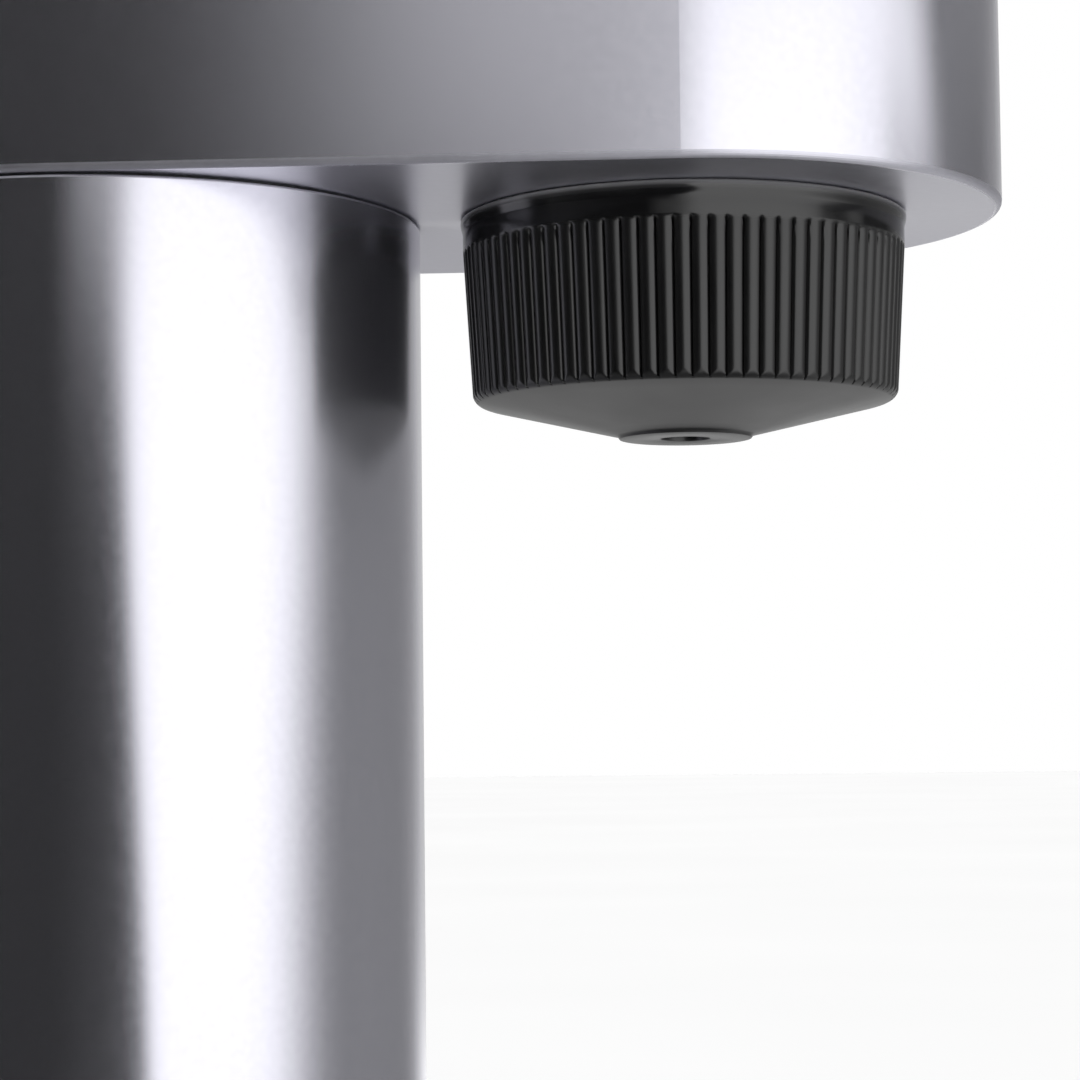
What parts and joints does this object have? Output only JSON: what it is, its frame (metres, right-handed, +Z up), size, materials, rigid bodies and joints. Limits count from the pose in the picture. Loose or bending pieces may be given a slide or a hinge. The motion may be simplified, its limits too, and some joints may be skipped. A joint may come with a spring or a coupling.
{
  "type": "portable espresso maker",
  "caption": "Free-standing portable espresso maker: satin metal column and rounded arm, with a black ribbed screw-on brewing cap under the arm's end.",
  "frame": {"origin": "on the column axis, on the table, at the centre of the base pad's lower face", "axes": "+Z up along the column, +X along the arm from the column to the brewing head, +Y away from the picture's viewer"},
  "size_m": [0.1703, 0.089, 0.2042],
  "materials": {
    "satin_metal": "bead-blasted satin",
    "black_gloss": "semi-gloss",
    "black_matte": "matte",
    "black_rubber": "matte",
    "grey_silicone": "soft satin",
    "steel": "polished and brushed",
    "dark_steel": "satin",
    "brass": "turned",
    "cast_alloy": "machined",
    "ceramic": "white ceramic",
    "light_pipe": "translucent white",
    "cell_wrap": "shrink sleeve",
    "board": "solder mask",
    "coil_red": "moulded housing"
  },
  "bodies": {
    "housing": {"arm_shell": "satin_metal", "arm_top_cover": "satin_metal", "column_shell": "satin_metal", "neck_ring": "black_matte", "base_plate": "black_matte", "base_pad": "black_rubber", "lid_hinge_pin": "steel", "light_ring": "light_pipe", "group_collar": "black_matte", "group_block": "cast_alloy", "group_gasket": "grey_silicone", "shower_screen": "steel", "shower_screw": "steel", "group_fitting": "brass", "water_tank": "steel", "tank_gasket": "grey_silicone", "heater_plate": "cast_alloy", "heater_standoffs": "ceramic", "thermostat": "dark_steel", "inlet_hose": "grey_silicone", "pump_coil": "coil_red", "pump_barrel": "brass", "pump_spring": "steel", "pump_mounts": "black_rubber", "pressure_hose_lower": "grey_silicone", "check_valve": "brass", "pressure_hose_upper": "grey_silicone", "battery_cells": "cell_wrap", "battery_holder_bottom": "black_matte", "battery_holder_top": "black_matte", "main_board": "board", "board_components": "black_matte", "charge_socket": "steel", "port_bezel": "black_matte", "button_board": "board", "button_switch": "black_matte", "chassis": "black_matte", "base_screws": "dark_steel", "neck_screws": "dark_steel", "cover_screws": "dark_steel", "collar_screws": "dark_steel", "board_screws": "dark_steel"},
    "lid": {"tank_lid": "satin_metal", "lid_seal": "grey_silicone"},
    "button": {"power_button": "satin_metal", "switch_plunger": "black_matte"},
    "basket": {"filter_basket": "steel"},
    "cap": {"portafilter_cap": "black_gloss"},
    "plunger": {"pump_plunger": "dark_steel"}
  },
  "joints": [
    {"name": "lid_hinge", "type": "hinge", "parent": "housing", "child": "lid", "pos_m": [-0.0366, 0, 0.2021], "axis": [0, -1, 0], "range_deg": [0, 100]},
    {"name": "button_press", "type": "slide", "parent": "housing", "child": "button", "axis": [0, 0, -1], "range_m": [0, 0.0008], "stiffness_N_per_m": 600, "springref_m": -0.001},
    {"name": "basket_drop", "type": "slide", "parent": "housing", "child": "basket", "axis": [0, 0, -1], "range_m": [0, 0.008]},
    {"name": "cap_twist", "type": "hinge", "parent": "basket", "child": "cap", "pos_m": [0.08125, 0, 0.155], "axis": [0, 0, -1], "range_deg": [0, 900]},
    {"name": "plunger_stroke", "type": "slide", "parent": "housing", "child": "plunger", "axis": [0, 0, 1], "range_m": [0, 0.006], "stiffness_N_per_m": 300, "springref_m": -0.004, "deforming": ["pump_spring"]}
  ],
  "couplings": [
    {"joint": "basket_drop", "follows": "cap_twist", "m_per_rad": 0.0005093}
  ]
}
